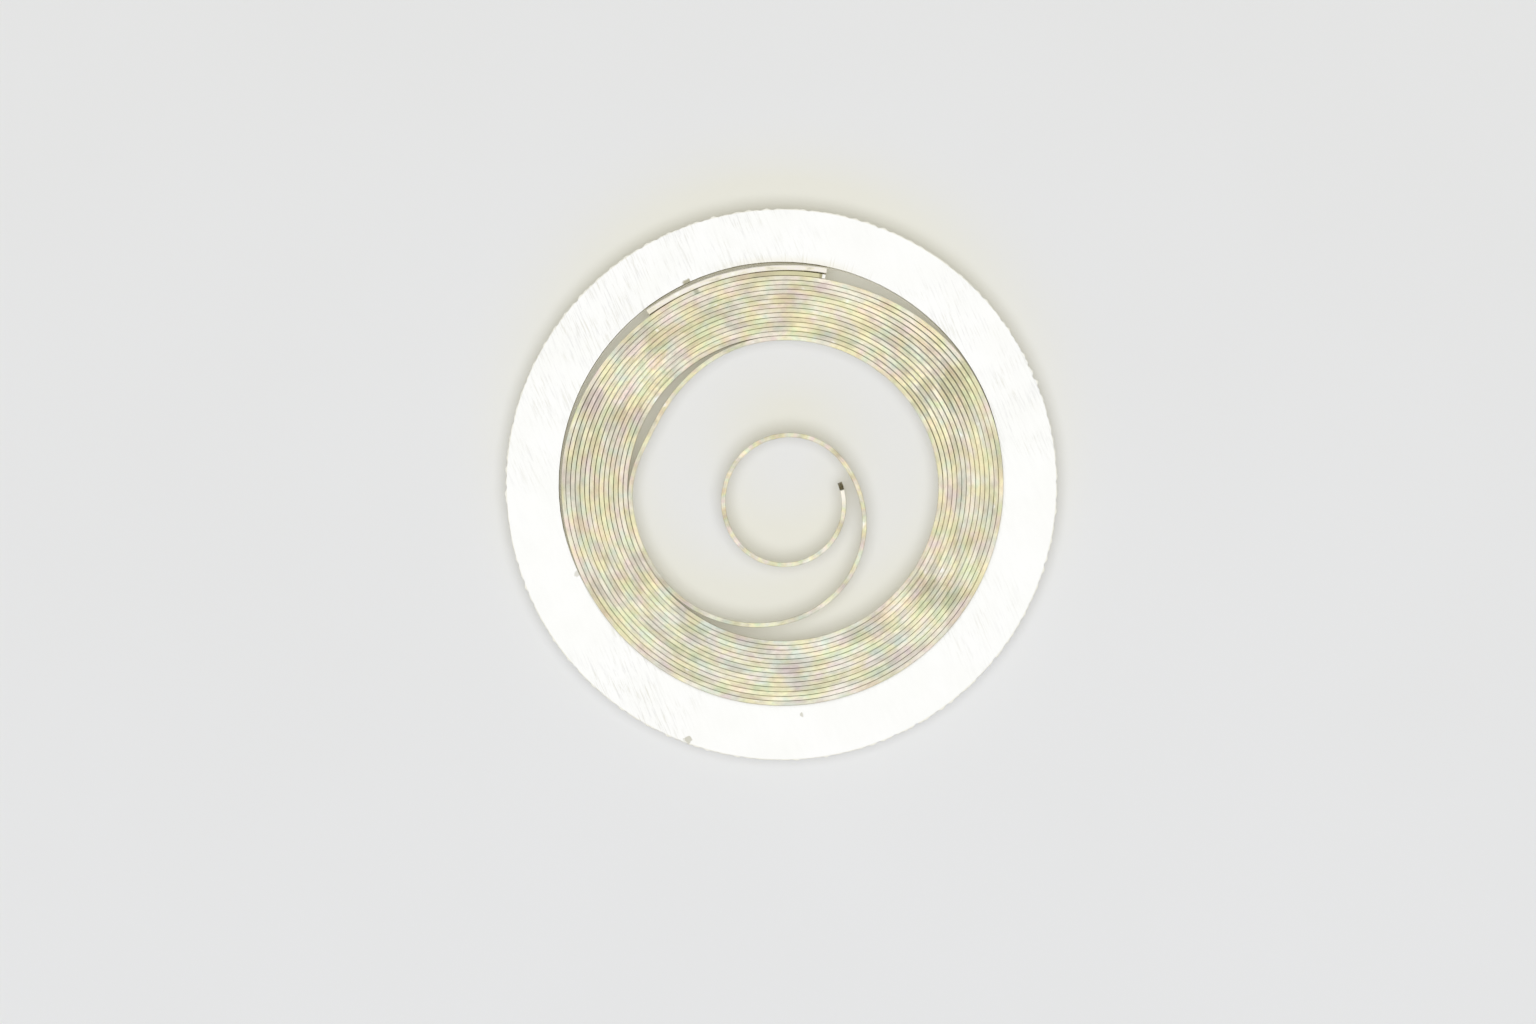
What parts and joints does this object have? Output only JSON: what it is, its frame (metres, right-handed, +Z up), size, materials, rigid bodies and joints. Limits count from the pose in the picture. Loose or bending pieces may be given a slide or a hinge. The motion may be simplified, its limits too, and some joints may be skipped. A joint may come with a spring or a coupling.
{
  "type": "watch mainspring",
  "caption": "Flat spiral mainspring of a watch, wound tight in a flat round retaining washer, with a short bridle at its outer end and an open arbor coil at its centre.",
  "frame": {"origin": "centre of the washer's bore, on the plane that the part lies on", "axes": "+Z up along the washer's axis, +Y towards the top of the picture, +X to its right"},
  "size_m": [0.0124, 0.0124, 0.0011],
  "materials": {
    "washer": "bright tumbled steel with fine scratches",
    "spring_strip": "rolled spring alloy, pale straw and silver, round edges",
    "bridle": "bright sheared edge"
  },
  "bodies": {
    "root": {"retaining_washer": "washer", "mainspring": "spring_strip", "bridle": "bridle"}
  },
  "joints": []
}
